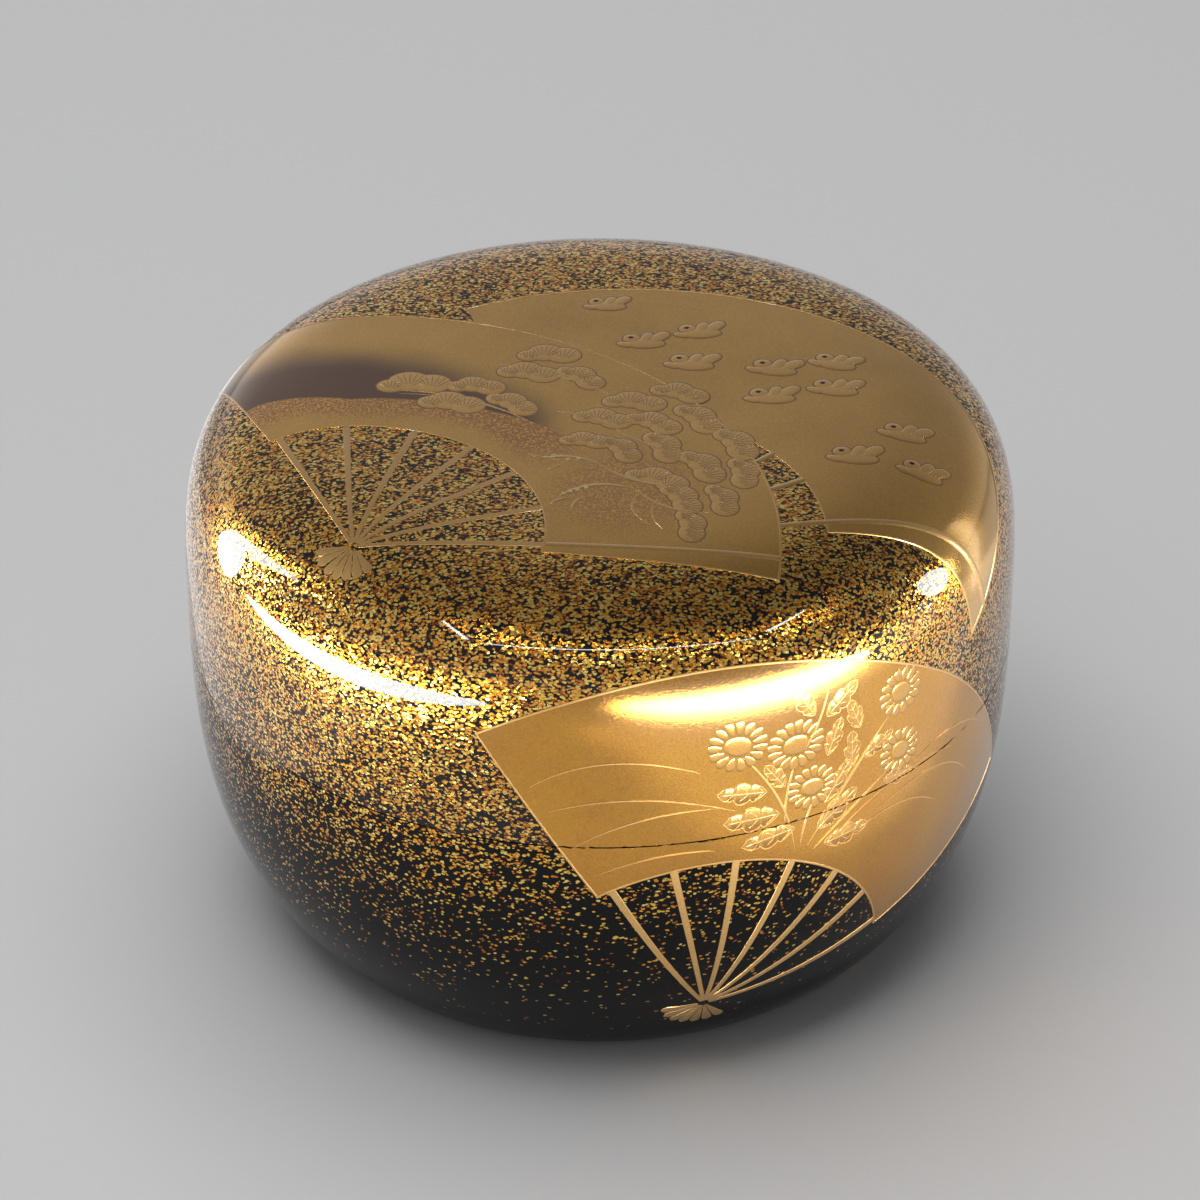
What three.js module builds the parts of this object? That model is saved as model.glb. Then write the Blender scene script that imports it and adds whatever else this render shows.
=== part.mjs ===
// A flat tea caddy of turned and lacquered wood, in two pieces.
// The body is a round bowl with a thin rim that rises inside its seat. The deep lid slips over that rim and
// rests on the seat, so that the two outsides run on as one curve, with only a hairline between them.
// Millimetres, +Z up. The origin is the centre of the foot, on the surface that the caddy stands on.
import * as THREE from "three";

// The outside: the belly rises from the foot to the widest ring, and the shoulder from there to the top
const WIDEST_DIAMETER = 82;
const FOOT_INSET = 10.3;
const BELLY_RISE = 37.2;
const SHOULDER_RISE = 18.4;
const SEAM_BELOW_WIDEST = 6.4;

// How full each curve is. A power of 2 gives an ellipse, and more gives a squarer turn.
const SHOULDER_POWERS = { across: 7.9, up: 3.13 };
const BELLY_POWERS = { across: 2.3, up: 3.3 };
const WELL_POWERS = { across: 6, up: 3 };

// The lid
const LID_WALL_AT_MOUTH = 1.7;
const LID_TOP_THICKNESS = 3;
const ROOM_ABOVE_RIM = 0.8;

// The body, with the rim that the lid slips over
const RIM_CLEARANCE = 0.2;
const RIM_THICKNESS = 1.3;
const RIM_HEIGHT = 8;
const FLOOR_THICKNESS = 3.4;
const FOOT_RING_WIDTH = 3.2;
const FOOT_RECESS_DEPTH = 0.8;

// Small edges
const SEAM_BEVEL = 0.15;
const LID_MOUTH_BEVEL = 0.4;
const RIM_EDGE_ROUND = 0.5;
const FOOT_EDGE_ROUND = 0.9;
const FOOT_RECESS_BEVEL = 0.5;

// Faces around the axis, and steps along each curve
const FACES_AROUND = 64;
const SHOULDER_STEPS = 14;
const BELLY_STEPS = 9;
const HOLLOW_STEPS = 9;
const EDGE_STEPS = 3;

const RIGHT_ANGLE = Math.PI / 2;
const point = (radius, height) => new THREE.Vector2(radius, height);

// Heights and radii that follow from the sizes above
const widestRadius = WIDEST_DIAMETER / 2;
const footRadius = widestRadius - FOOT_INSET;
const top = BELLY_RISE + SHOULDER_RISE;
const seam = BELLY_RISE - SEAM_BELOW_WIDEST;
const rimTop = seam + RIM_HEIGHT;
const ceiling = top - LID_TOP_THICKNESS;
const floor = FOOT_RECESS_DEPTH + FLOOR_THICKNESS;

// The belly is cut off flat at the foot. This is how far below the widest ring it would reach the axis.
const footShare = (footRadius / widestRadius) ** BELLY_POWERS.across;
const bellyDepth = BELLY_RISE / (1 - footShare) ** (1 / BELLY_POWERS.up);

// Points on a turned quarter, from its full radius at the start height to the axis at the end height. The
// angle runs from 0 at the full radius to a right angle on the axis.
function quarter(radius, startHeight, endHeight, powers, fromAngle, toAngle, steps) {
  return Array.from({ length: steps + 1 }, (_, step) => {
    const angle = THREE.MathUtils.lerp(fromAngle, toAngle, step / steps);
    const across = angle < RIGHT_ANGLE ? Math.cos(angle) ** (2 / powers.across) : 0;
    const up = Math.sin(angle) ** (2 / powers.up);
    return point(radius * across, THREE.MathUtils.lerp(startHeight, endHeight, up));
  });
}

const shoulder = quarter(widestRadius, BELLY_RISE, top, SHOULDER_POWERS, 0, RIGHT_ANGLE, SHOULDER_STEPS);

// The angle at which the belly's curve is at a height
const bellyAngle = (height) => Math.asin(((BELLY_RISE - height) / bellyDepth) ** (BELLY_POWERS.up / 2));

// The belly from one height up to another
const belly = (low, high, steps) => quarter(
  widestRadius, BELLY_RISE, BELLY_RISE - bellyDepth, BELLY_POWERS,
  bellyAngle(low), bellyAngle(high), steps,
);
const bellyRadius = (height) => belly(height, BELLY_RISE, 1)[0].x;

// A rounded edge between two points, pulled towards the sharp corner that it replaces
const roundedEdge = (from, corner, to) => (
  new THREE.QuadraticBezierCurve(from, corner, to).getPoints(EDGE_STEPS)
);

// The fit of the lid on the rim, worked inwards from the outside at the seam
const seamRadius = bellyRadius(seam);
const mouthRadius = seamRadius - LID_WALL_AT_MOUTH;
const rimOuterRadius = mouthRadius - RIM_CLEARANCE;
const rimInnerRadius = rimOuterRadius - RIM_THICKNESS;

// Each bevel or round stays within the wall that it is on
const seamBevel = Math.min(SEAM_BEVEL, LID_WALL_AT_MOUTH / 4);
const mouthBevel = Math.min(LID_MOUTH_BEVEL, LID_WALL_AT_MOUTH / 3);
const rimRound = Math.min(RIM_EDGE_ROUND, RIM_THICKNESS / 2.5);
const recessBevel = Math.min(FOOT_RECESS_BEVEL, FOOT_RING_WIDTH / 2);

// The lid from the ceiling over the rim, down to its mouth, and up the outside to the top
function lidProfile() {
  const hollow = quarter(
    mouthRadius, rimTop + ROOM_ABOVE_RIM, ceiling, SHOULDER_POWERS,
    RIGHT_ANGLE, 0, HOLLOW_STEPS,
  );
  const mouth = [
    point(mouthRadius, seam + mouthBevel),
    point(mouthRadius + mouthBevel, seam),
    point(seamRadius - seamBevel, seam),
  ];
  const skirt = belly(seam + seamBevel, BELLY_RISE, 2);
  return [...hollow, ...mouth, ...skirt, ...shoulder.slice(1)];
}

// The body from the recess under it, up the outside to the seat, over the rim and down into the well
function bodyProfile() {
  const ringOuter = footRadius - FOOT_EDGE_ROUND;
  const ringInner = ringOuter - FOOT_RING_WIDTH;
  const recess = [
    point(0, FOOT_RECESS_DEPTH),
    point(ringInner - recessBevel, FOOT_RECESS_DEPTH),
    point(ringInner, 0),
  ];
  const footEdge = roundedEdge(
    point(ringOuter, 0),
    point(footRadius, 0),
    point(bellyRadius(FOOT_EDGE_ROUND), FOOT_EDGE_ROUND),
  );
  const flank = belly(FOOT_EDGE_ROUND, seam - seamBevel, BELLY_STEPS).slice(1);
  const seat = [
    point(seamRadius - seamBevel, seam),
    point(rimOuterRadius, seam),
  ];
  const rimEdge = [
    ...roundedEdge(
      point(rimOuterRadius, rimTop - rimRound),
      point(rimOuterRadius, rimTop),
      point(rimOuterRadius - rimRound, rimTop),
    ),
    ...roundedEdge(
      point(rimInnerRadius + rimRound, rimTop),
      point(rimInnerRadius, rimTop),
      point(rimInnerRadius, rimTop - rimRound),
    ),
  ];
  const well = quarter(rimInnerRadius, seam, floor, WELL_POWERS, 0, RIGHT_ANGLE, HOLLOW_STEPS);
  return [...recess, ...footEdge, ...flank, ...seat, ...rimEdge, ...well];
}

// A profile turned about the upright axis
function turned(profile) {
  const geometry = new THREE.LatheGeometry(profile, FACES_AROUND);
  geometry.rotateX(RIGHT_ANGLE);
  return geometry;
}

const flakedLacquer = new THREE.MeshStandardMaterial({ color: 0x8a6428, roughness: 0.2, metalness: 0.55 });
const blackLacquer = new THREE.MeshStandardMaterial({ color: 0x1c1610, roughness: 0.15, metalness: 0.1 });

const lid = new THREE.Mesh(turned(lidProfile()), flakedLacquer);
lid.name = "lid";

const body = new THREE.Mesh(turned(bodyProfile()), blackLacquer);
body.name = "body";

const caddy = new THREE.Group();
caddy.add(body, lid);

export default caddy;
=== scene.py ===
import math

import bpy
import numpy as np
from mathutils import Matrix, Vector


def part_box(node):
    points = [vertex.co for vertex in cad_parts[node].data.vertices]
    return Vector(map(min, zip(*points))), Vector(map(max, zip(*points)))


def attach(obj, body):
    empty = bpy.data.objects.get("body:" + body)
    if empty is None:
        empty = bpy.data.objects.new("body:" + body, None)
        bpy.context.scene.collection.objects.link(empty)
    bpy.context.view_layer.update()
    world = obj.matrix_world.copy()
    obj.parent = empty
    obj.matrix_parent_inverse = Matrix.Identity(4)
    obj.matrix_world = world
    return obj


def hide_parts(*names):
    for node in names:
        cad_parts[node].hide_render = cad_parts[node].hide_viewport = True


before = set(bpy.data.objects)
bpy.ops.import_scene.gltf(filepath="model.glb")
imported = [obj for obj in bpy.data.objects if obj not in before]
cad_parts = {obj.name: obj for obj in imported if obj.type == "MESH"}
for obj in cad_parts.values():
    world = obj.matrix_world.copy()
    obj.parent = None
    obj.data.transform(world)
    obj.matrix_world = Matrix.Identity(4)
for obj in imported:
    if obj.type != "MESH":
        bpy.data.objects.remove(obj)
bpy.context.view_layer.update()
bpy.ops.object.select_all(action="DESELECT")
MM = 0.001


def set_inputs(tree, node, inputs):
    """Sets a node's inputs, given by name or by number, to values, or links them to sockets."""
    for name, value in inputs.items():
        if isinstance(value, bpy.types.NodeSocket):
            tree.links.new(value, node.inputs[name])
        else:
            node.inputs[name].default_value = value


def add_node(tree, kind, inputs=None, **settings):
    """A new node with its settings and its inputs."""
    node = tree.nodes.new(kind)
    for name, value in settings.items():
        setattr(node, name, value)
    set_inputs(tree, node, inputs or {})
    return node


def maths(tree, operation, *values):
    """A Math node on sockets or numbers."""
    return add_node(tree, "ShaderNodeMath", dict(enumerate(values)), operation=operation).outputs[0]


def vector_maths(tree, operation, *values, **scale):
    """A Vector Math node on sockets or vectors."""
    inputs = {**dict(enumerate(values)), **scale}
    return add_node(tree, "ShaderNodeVectorMath", inputs, operation=operation).outputs[0]


def noise(tree, place, scale, detail, roughness=0.5):
    """A noise texture at a place."""
    inputs = {"Vector": place, "Scale": scale, "Detail": detail, "Roughness": roughness}
    return add_node(tree, "ShaderNodeTexNoise", inputs)


def on_ramp(tree, value, stops):
    """The colour of a value on a ramp, whose stops are (place, colour) pairs."""
    node = add_node(tree, "ShaderNodeValToRGB", {0: value})
    elements = node.color_ramp.elements
    while len(elements) < len(stops):
        elements.new(1.0)
    for element, (place, colour) in zip(elements, stops):
        element.position = place
        element.color = (*colour, 1.0)
    return node.outputs[0]


def greys(stops):
    """The stops of a ramp of greys, from (place, brightness) pairs."""
    return [(place, (brightness,) * 3) for place, brightness in stops]


def between(tree, value, low, high, at_low=0.0, at_high=1.0):
    """A smooth step from one result, up to the low value, to another, from the high value on."""
    inputs = {"Value": value, "From Min": low, "From Max": high, "To Min": at_low, "To Max": at_high}
    return add_node(tree, "ShaderNodeMapRange", inputs, interpolation_type="SMOOTHSTEP").outputs[0]


def mixed(tree, factor, first, second, kind="RGBA"):
    """A mix of two colours or numbers, from the first to the second by a factor."""
    inputs = {"Factor": factor, "A": first, "B": second}
    return add_node(tree, "ShaderNodeMix", inputs, data_type=kind).outputs["Result"]


def new_material(name):
    """A new material, with its node tree and its shader."""
    material = bpy.data.materials.new(name)
    material.use_nodes = True
    return material, material.node_tree, material.node_tree.nodes["Principled BSDF"]


# The view: the caddy seen from in front and above, standing on a pale floor that runs on past the frame.
# The camera looks a little below the middle of the caddy's height, from about half a metre away.
CAMERA_DISTANCE = 497.9 * MM
CAMERA_ELEVATION = math.radians(32.91)
CAMERA_TARGET_HEIGHT = 31.76 * MM
CAMERA_LENS = 149.97
FLOOR_HALF_WIDTH = 3.0
FLOOR_COLOUR = (0.425, 0.427, 0.435, 1.0)

camera = bpy.data.objects.new("camera", bpy.data.cameras.new("camera"))
bpy.context.scene.collection.objects.link(camera)
camera.data.sensor_width = 36.0
camera.data.lens = CAMERA_LENS
camera.data.clip_start = 0.01
camera.location = (
    0.0,
    -CAMERA_DISTANCE * math.cos(CAMERA_ELEVATION),
    CAMERA_TARGET_HEIGHT + CAMERA_DISTANCE * math.sin(CAMERA_ELEVATION),
)
camera.rotation_euler = (math.pi / 2 - CAMERA_ELEVATION, 0.0, 0.0)
bpy.context.scene.camera = camera

bpy.ops.mesh.primitive_plane_add(size=2 * FLOOR_HALF_WIDTH)
floor = bpy.context.object
floor.name = "floor"
floor_material, floor_tree, floor_shader = new_material("pale_floor")
floor_look = {"Base Color": FLOOR_COLOUR, "Roughness": 0.9, "Specular IOR Level": 0.0}
set_inputs(floor_tree, floor_shader, floor_look)
floor.data.materials.append(floor_material)


# The light: a room that is brightest low down and on the left, a wide soft panel high up for the floor and a
# small one in front. Low cards close to the caddy show as white bands in its polished shoulder, thin high
# ones as a bright arc, and two that lie on the floor brighten its lower sides.
SKY = [(0.0, 0.74), (0.15, 0.54), (0.34, 0.38), (0.56, 0.35), (0.80, 0.24), (1.0, 0.20)]
SKY_TINT = (1.0, 0.985, 0.96)
SKY_LEAN_FROM, SKY_LEAN_TO = -0.25, 0.30
SKY_LEAN_LEFT, SKY_LEAN_RIGHT = 1.10, 0.68
CARDS = [
    # (name, shape, azimuth, distance, aside, height of its middle, width, height, roll, strength), in degrees
    # and millimetres: azimuth 0 is on the camera's side and 90 on its right
    ("left_card", "ELLIPSE", -68, 130, 28, 13.5, 182, 17, 0, 14),
    ("left_end_card", "ELLIPSE", -110, 130, 20, 36, 26, 50, -16, 8),
    ("left_tail_card", "ELLIPSE", -110, 130, 42, 74, 72, 15, 36, 8),
    ("front_card", "ELLIPSE", 30, 130, 14, 24, 156, 23, -4, 15),
    ("soft_front_card", "RECTANGLE", 62, 150, 0, 18, 150, 44, 0, 1.0),
    ("right_card", "ELLIPSE", 98, 130, -28, 51, 22, 38, 20, 8.5),
    ("far_right_card", "ELLIPSE", 118, 130, -34, 45, 14, 90, 0, 0.7),
    ("high_strip", "RECTANGLE", 0, 200, 28, 203, 304, 4.4, 0, 21),
    ("high_left_strip", "RECTANGLE", 0, 200, -205, 312, 220, 7, -60, 22),
    ("high_right_strip", "RECTANGLE", 0, 200, 330, 360, 330, 10, 46, 18),
]
FLOOR_CARDS = [("right_floor_card", 57, 0.33), ("left_floor_card", -98, 0.40)]
FLOOR_CARD_DISTANCE, FLOOR_CARD_HEIGHT = 112, 0.6
FLOOR_CARD_WIDTH, FLOOR_CARD_DEPTH = 270, 90


def card(name, shape, azimuth, distance, aside, middle, width, height, roll, strength):
    """An upright card of light that faces the caddy, seen only in gloss."""
    data = bpy.data.lights.new(name, "AREA")
    data.shape = shape
    data.size = width * MM
    data.size_y = height * MM
    data.energy = strength * width * height * MM * MM * math.pi
    lamp = bpy.data.objects.new(name, data)
    bpy.context.scene.collection.objects.link(lamp)
    turn = math.radians(azimuth)
    away = Vector((math.sin(turn), -math.cos(turn), 0.0))
    side = Vector((math.cos(turn), math.sin(turn), 0.0))
    lamp.location = distance * MM * away + aside * MM * side + Vector((0.0, 0.0, middle * MM))
    facing = away.to_track_quat("Z", "Y").to_matrix()
    lamp.rotation_euler = (facing @ Matrix.Rotation(math.radians(roll), 3, "Z")).to_euler()
    lamp.visible_diffuse = False
    lamp.visible_camera = False
    return lamp


for numbers in CARDS:
    card(*numbers)

for name, azimuth, strength in FLOOR_CARDS:
    floor_card = card(
        name, "RECTANGLE", azimuth, FLOOR_CARD_DISTANCE, 0, FLOOR_CARD_HEIGHT,
        FLOOR_CARD_WIDTH, FLOOR_CARD_DEPTH, 0, strength,
    )
    floor_card.rotation_euler = (math.pi, 0.0, math.radians(azimuth))


def soft_panel(name, size, energy, place, backwards):
    """A square panel of soft light that shines backwards, away from a direction, and isn't seen itself."""
    panel = bpy.data.objects.new(name, bpy.data.lights.new(name, "AREA"))
    bpy.context.scene.collection.objects.link(panel)
    panel.data.size = size
    panel.data.energy = energy
    panel.location = place
    panel.rotation_euler = Vector(backwards).to_track_quat("Z", "Y").to_euler()
    panel.visible_glossy = False
    panel.visible_camera = False


soft_panel("floor_panel", 1.3, 17.0, (-0.12, 0.16, 1.20), (-0.12, 0.16, 1.20))
soft_panel("fill_panel", 0.2, 0.21, (-0.07, -0.13, 0.30), (-0.03, -0.06, 0.30))

world = bpy.data.worlds.new("studio")
world.use_nodes = True
sky = world.node_tree
direction = add_node(sky, "ShaderNodeTexCoord").outputs["Generated"]
upright = add_node(sky, "ShaderNodeSeparateXYZ", {0: direction}).outputs
sky_stops = [(place, [brightness * part for part in SKY_TINT]) for place, brightness in SKY]
set_inputs(sky, sky.nodes["Background"], {
    "Color": on_ramp(sky, upright["Z"], sky_stops),
    "Strength": between(sky, upright["X"], SKY_LEAN_FROM, SKY_LEAN_TO, SKY_LEAN_LEFT, SKY_LEAN_RIGHT),
})
bpy.context.scene.world = world
bpy.context.scene.view_settings.view_transform = "Standard"


# The lid: turned from wood as a deep cap, hollow, and lacquered inside and out. Its outside runs from the
# seam up over the widest ring and the shoulder to an almost flat top. It slips over the rim of the body.
lid_low, lid_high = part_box("lid")
_, body_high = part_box("body")
RELIEF = 0.13 * MM
WIDEST_RADIUS = lid_high.x - RELIEF
TOP = lid_high.z - RELIEF
SEAM = lid_low.z
RIM_TOP = body_high.z
WIDEST_HEIGHT = 37.2 * MM
FOOT_RADIUS = 30.7 * MM
SHOULDER_ACROSS, SHOULDER_UP = 7.9, 3.13
BELLY_ACROSS, BELLY_UP = 2.3, 3.3
LID_WALL = 1.7 * MM
LID_TOP_THICKNESS = 3 * MM
ROOM_ABOVE_RIM = 0.8 * MM
SEAM_GAP = 0.045 * MM
SEAM_EDGE = 0.025 * MM
MOUTH_BEVEL = 0.4 * MM
LATHE_STEPS = 256
LATHE_SPACING = 0.8 * MM
HOLLOW_SPACING = 1.5 * MM

SHOULDER_RISE = TOP - WIDEST_HEIGHT
BELLY_DEPTH = WIDEST_HEIGHT / (1 - (FOOT_RADIUS / WIDEST_RADIUS) ** BELLY_ACROSS) ** (1 / BELLY_UP)


def outside_radius(height):
    """The radius of the caddy's outside at a height."""
    if height >= WIDEST_HEIGHT:
        share = min((height - WIDEST_HEIGHT) / SHOULDER_RISE, 1.0)
        return WIDEST_RADIUS * (1 - share**SHOULDER_UP) ** (1 / SHOULDER_ACROSS)
    share = (WIDEST_HEIGHT - height) / BELLY_DEPTH
    return WIDEST_RADIUS * (1 - share**BELLY_UP) ** (1 / BELLY_ACROSS)


def level(points):
    """Below 0 inside the caddy's outside, and above 0 beyond it."""
    radius = np.hypot(points[..., 0], points[..., 1]) / WIDEST_RADIUS
    rise = points[..., 2] - WIDEST_HEIGHT
    above = (np.maximum(rise, 0) / SHOULDER_RISE) ** SHOULDER_UP + radius**SHOULDER_ACROSS
    below = (np.maximum(-rise, 0) / BELLY_DEPTH) ** BELLY_UP + radius**BELLY_ACROSS
    return np.where(rise >= 0, above, below) - 1


def turned_quarter(radius, start, end, across, up):
    """A rounded quarter of a profile, from its full radius at the start height to the axis at the end."""
    angles = np.linspace(0.0, math.pi / 2, 2000)
    radii = radius * np.clip(np.cos(angles), 0.0, 1.0) ** (2 / across)
    radii[-1] = 0.0
    return np.column_stack([radii, start + (end - start) * np.sin(angles) ** (2 / up)])


def evenly(points, spacing):
    """The same curve with points at even distances along it."""
    points = np.asarray(points)
    along = np.concatenate([[0.0], np.cumsum(np.hypot(*np.diff(points, axis=0).T))])
    places = np.linspace(0.0, along[-1], max(2, round(along[-1] / spacing) + 1))
    return np.column_stack([np.interp(places, along, points[:, 0]), np.interp(places, along, points[:, 1])])


def outside(low, high):
    """The outside between two heights, upwards."""
    if high >= TOP:
        shoulder = turned_quarter(WIDEST_RADIUS, WIDEST_HEIGHT, TOP, SHOULDER_ACROSS, SHOULDER_UP)
        heights = np.linspace(low, WIDEST_HEIGHT, 400)[:-1]
        belly = np.column_stack([[outside_radius(height) for height in heights], heights])
        return evenly(np.vstack([belly, shoulder]), LATHE_SPACING)
    heights = np.linspace(low, high, 1500)
    return evenly(np.column_stack([[outside_radius(height) for height in heights], heights]), LATHE_SPACING)


def work_on(piece):
    """Selects one piece alone and makes it the active one."""
    bpy.ops.object.select_all(action="DESELECT")
    piece.select_set(True)
    bpy.context.view_layer.objects.active = piece


def mesh_piece(name, points, edges=(), faces=()):
    """A new piece from points with edges or faces."""
    mesh = bpy.data.meshes.new(name)
    mesh.from_pydata([tuple(point) for point in points], list(edges), list(faces))
    piece = bpy.data.objects.new(name, mesh)
    bpy.context.scene.collection.objects.link(piece)
    return piece


def turned_on_lathe(name, profile, steps=LATHE_STEPS):
    """A profile of (radius, height) from axis to axis, spun about the upright axis."""
    points = [(radius, 0.0, height) for radius, height in profile]
    piece = mesh_piece(name, points, edges=[(i, i + 1) for i in range(len(points) - 1)])
    work_on(piece)
    bpy.ops.object.mode_set(mode="EDIT")
    bpy.ops.mesh.select_all(action="SELECT")
    bpy.ops.mesh.spin(steps=steps, angle=math.tau, center=(0, 0, 0), axis=(0, 0, 1))
    bpy.ops.mesh.select_all(action="SELECT")
    bpy.ops.mesh.remove_doubles(threshold=0.001 * MM)
    bpy.ops.mesh.normals_make_consistent(inside=False)
    bpy.ops.object.mode_set(mode="OBJECT")
    bpy.ops.object.shade_smooth_by_angle(angle=math.radians(30))
    return piece


seam_radius = outside_radius(SEAM)
mouth_radius = seam_radius - LID_WALL
ceiling = TOP - LID_TOP_THICKNESS
lid_hollow = turned_quarter(mouth_radius, RIM_TOP + ROOM_ABOVE_RIM, ceiling, SHOULDER_ACROSS, SHOULDER_UP)
lid_hollow = evenly(lid_hollow, HOLLOW_SPACING)[::-1]
lid_mouth = [
    (mouth_radius, SEAM + MOUTH_BEVEL),
    (mouth_radius + MOUTH_BEVEL, SEAM + SEAM_GAP),
    (seam_radius - SEAM_EDGE, SEAM + SEAM_GAP),
]
lid_profile = np.vstack([lid_hollow, lid_mouth, outside(SEAM + SEAM_GAP + SEAM_EDGE, TOP)])
lacquered_lid = turned_on_lathe("lacquered_lid", lid_profile)
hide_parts("lid")
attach(lacquered_lid, "root")


# The body: a turned and lacquered bowl that stands on a flat foot ring. Its seat takes the lid's edge, and
# inside the seat a thin rim rises into the lid. The well inside is plain black lacquer.
RIM_CLEARANCE = 0.2 * MM
RIM_THICKNESS = 1.3 * MM
RIM_ROUND = 0.5 * MM
FLOOR_THICKNESS = 3.4 * MM
FOOT_ROUND = 0.9 * MM
FOOT_RING_WIDTH = 3.2 * MM
FOOT_RECESS = 0.8 * MM
FOOT_RING_ROUND = 0.2 * MM
RING_EDGE_HEIGHT = 0.12 * MM
RECESS_ROUND = 0.9 * MM
RECESS_CORNER = 0.4 * MM
WELL_ACROSS, WELL_UP = 6, 3


def rounded_edge(start, corner, end, steps=6):
    """A rounded edge between two points, pulled towards the sharp corner that it replaces."""
    start, corner, end = np.array(start), np.array(corner), np.array(end)
    shares = np.linspace(0, 1, steps + 1)[:, None]
    return (1 - shares) ** 2 * start + 2 * shares * (1 - shares) * corner + shares**2 * end


rim_outer = mouth_radius - RIM_CLEARANCE
rim_inner = rim_outer - RIM_THICKNESS
ring_outer = FOOT_RADIUS - FOOT_ROUND
ring_inner = ring_outer - FOOT_RING_WIDTH
well_floor = FOOT_RECESS + FLOOR_THICKNESS
body_profile = np.vstack([
    [(0.0, FOOT_RECESS)],
    [(share * ring_inner, FOOT_RECESS) for share in (0.3, 0.6, 0.85)],
    rounded_edge(
        (ring_inner - RECESS_ROUND, FOOT_RECESS),
        (ring_inner - RECESS_CORNER, FOOT_RECESS),
        (ring_inner, RING_EDGE_HEIGHT),
    ),
    rounded_edge((ring_inner, RING_EDGE_HEIGHT), (ring_inner, 0.0), (ring_inner + FOOT_RING_ROUND, 0.0)),
    rounded_edge((ring_outer, 0.0), (FOOT_RADIUS, 0.0), (outside_radius(FOOT_ROUND), FOOT_ROUND)),
    outside(FOOT_ROUND, SEAM - SEAM_GAP - SEAM_EDGE)[1:],
    [(seam_radius - SEAM_EDGE, SEAM - SEAM_GAP), (rim_outer, SEAM - SEAM_GAP)],
    rounded_edge((rim_outer, RIM_TOP - RIM_ROUND), (rim_outer, RIM_TOP), (rim_outer - RIM_ROUND, RIM_TOP)),
    rounded_edge((rim_inner + RIM_ROUND, RIM_TOP), (rim_inner, RIM_TOP), (rim_inner, RIM_TOP - RIM_ROUND)),
    evenly(turned_quarter(rim_inner, SEAM, well_floor, WELL_ACROSS, WELL_UP), HOLLOW_SPACING),
])
lacquered_body = turned_on_lathe("lacquered_body", body_profile)
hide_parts("body")
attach(lacquered_body, "root")


# The flaked finish: gold flakes strewn into wet lacquer, dense on the lid and thinning out down the body,
# then covered with clear lacquer and polished. Each flake has its own shade and its own small tilt, and none
# bridges the hairline at the seam.
FLAKE_LENGTH = 0.38 * MM
FLAKE_WIDTH = 0.23 * MM
FLAKE_REACH = 0.56
FLAKE_RAGGEDNESS = 0.22 * MM
FLAKE_TILT = 0.24
FLAKE_ROUGHNESS = 0.22
FLAKE_LAYERS = ((0.3, 0.5, 0.2), (1.2, 0.4, 1.1), (0.7, 1.9, 2.3))
SEAM_CUT = 0.075 * MM
LID_COAT_IOR, BODY_COAT_IOR = 1.52, 1.32
COAT_ROUGHNESS = 0.03
BLACK = (0.0015, 0.0013, 0.0013, 1.0)
FLAKE_SHADES = [
    (0.00, (0.26, 0.048, 0.006)),
    (0.15, (0.68, 0.20, 0.012)),
    (0.42, (0.98, 0.41, 0.028)),
    (0.70, (1.00, 0.62, 0.085)),
    (1.00, (1.00, 0.80, 0.250)),
]
FLAKE_COVER_BY_HEIGHT = [
    (0.00, 0.000), (0.10, 0.003), (0.22, 0.014), (0.36, 0.050), (0.50, 0.150),
    (0.60, 0.270), (0.74, 0.390), (0.86, 0.420), (1.00, 0.405),
]


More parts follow.
